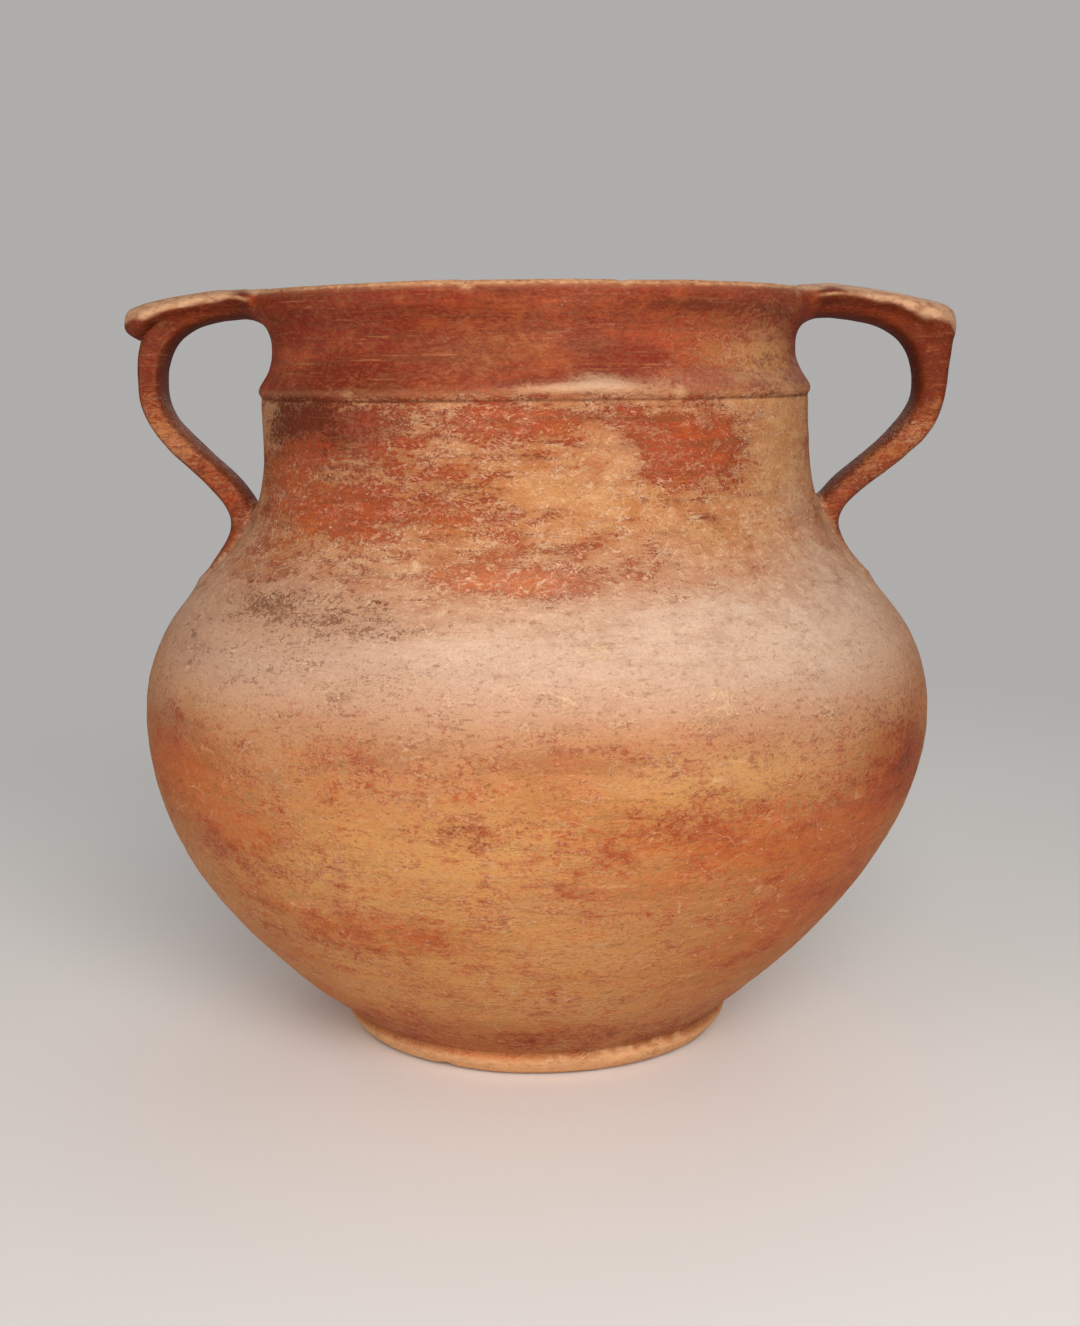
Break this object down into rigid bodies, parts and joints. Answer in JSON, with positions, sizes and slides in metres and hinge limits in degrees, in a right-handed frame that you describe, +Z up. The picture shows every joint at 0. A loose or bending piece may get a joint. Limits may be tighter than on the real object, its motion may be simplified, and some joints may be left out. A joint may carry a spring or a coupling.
{
  "type": "pottery vase",
  "caption": "Wide-mouthed globular pottery jar with a ridged neck, strap handles under projecting thumb rests, and a low foot.",
  "frame": {"origin": "on the vase's axis, on the surface that its foot ring stands on", "axes": "+Z up; the handles lie along +X and -X, the handle with the longer reach at +X; -Y faces the viewer"},
  "size_m": [0.2992, 0.2856, 0.2723],
  "materials": {
    "slipped_clay": "worn red slip over orange-buff earthenware, smoothed on the wheel, with a soft sheen"
  },
  "bodies": {
    "root": {"vase": "slipped_clay"}
  },
  "joints": []
}
